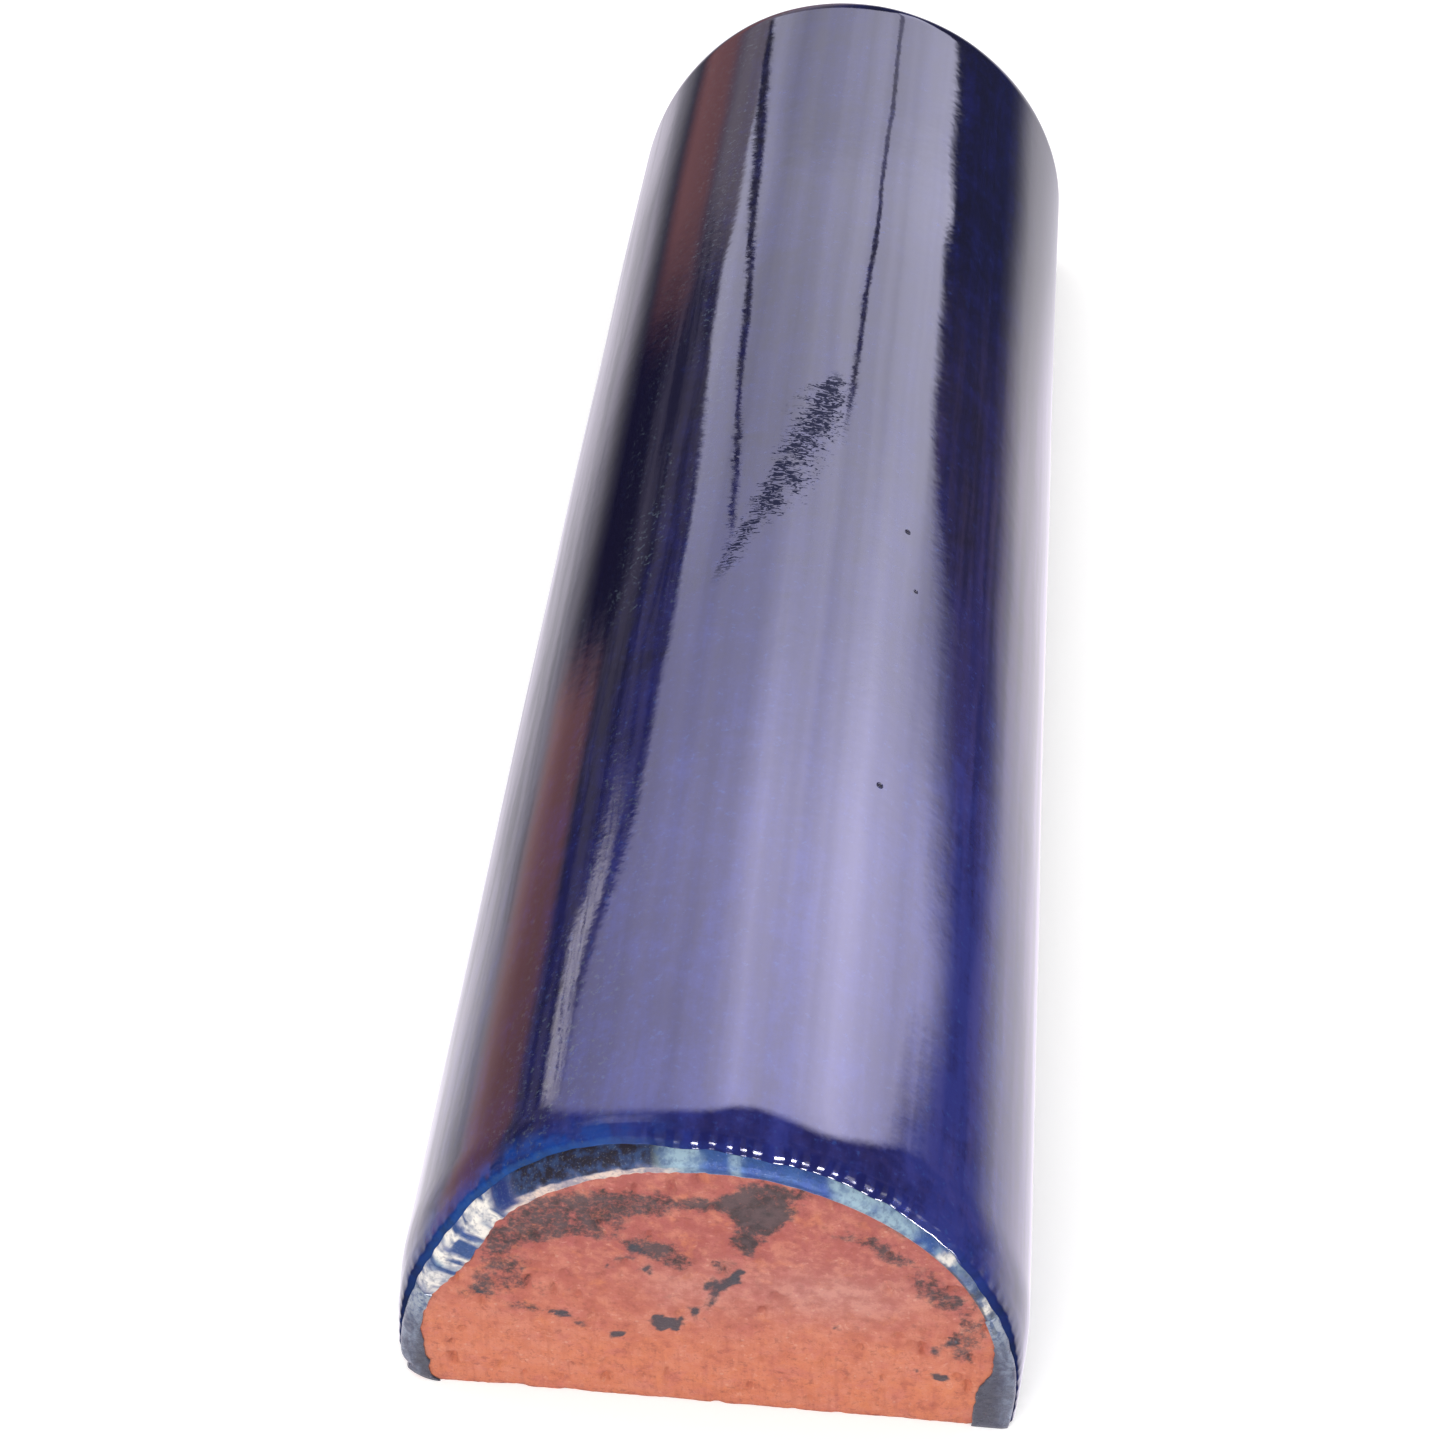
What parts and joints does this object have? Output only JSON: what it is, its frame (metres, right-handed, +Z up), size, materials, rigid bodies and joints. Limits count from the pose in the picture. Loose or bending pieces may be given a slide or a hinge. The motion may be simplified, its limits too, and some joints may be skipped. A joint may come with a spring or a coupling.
{
  "type": "half-round glazed ceramic trim",
  "caption": "Solid half-round terracotta trim bar with a flat underside, bare clay ends and a cobalt glazed back, for edging a tiled surface.",
  "frame": {"origin": "centre of the flat underside", "axes": "+Y along the length from the near bare end to the far end, +X to the right seen from the near end, +Z up through the crown of the rounded back"},
  "size_m": [0.046, 0.15, 0.03],
  "materials": {
    "terracotta": "bare fired red earthenware, matte and slightly sandy, with dark stain smears and small glaze spots on the near end",
    "light_base_coat": "thin pale blue-white base coat, satin, showing as a lip where the coloured glaze stops",
    "cobalt_glaze": "glossy cobalt blue glaze, slightly rippled, with lengthwise streaks and a few pinholes",
    "pooled_glaze": "glossy grey-blue glaze where it pooled in the near corners"
  },
  "bodies": {
    "root": {"clay_body": "terracotta", "light_base_coat": "light_base_coat", "cobalt_glaze": "cobalt_glaze", "left_corner_glaze_bead": "pooled_glaze", "right_corner_glaze_bead": "pooled_glaze"}
  },
  "joints": []
}
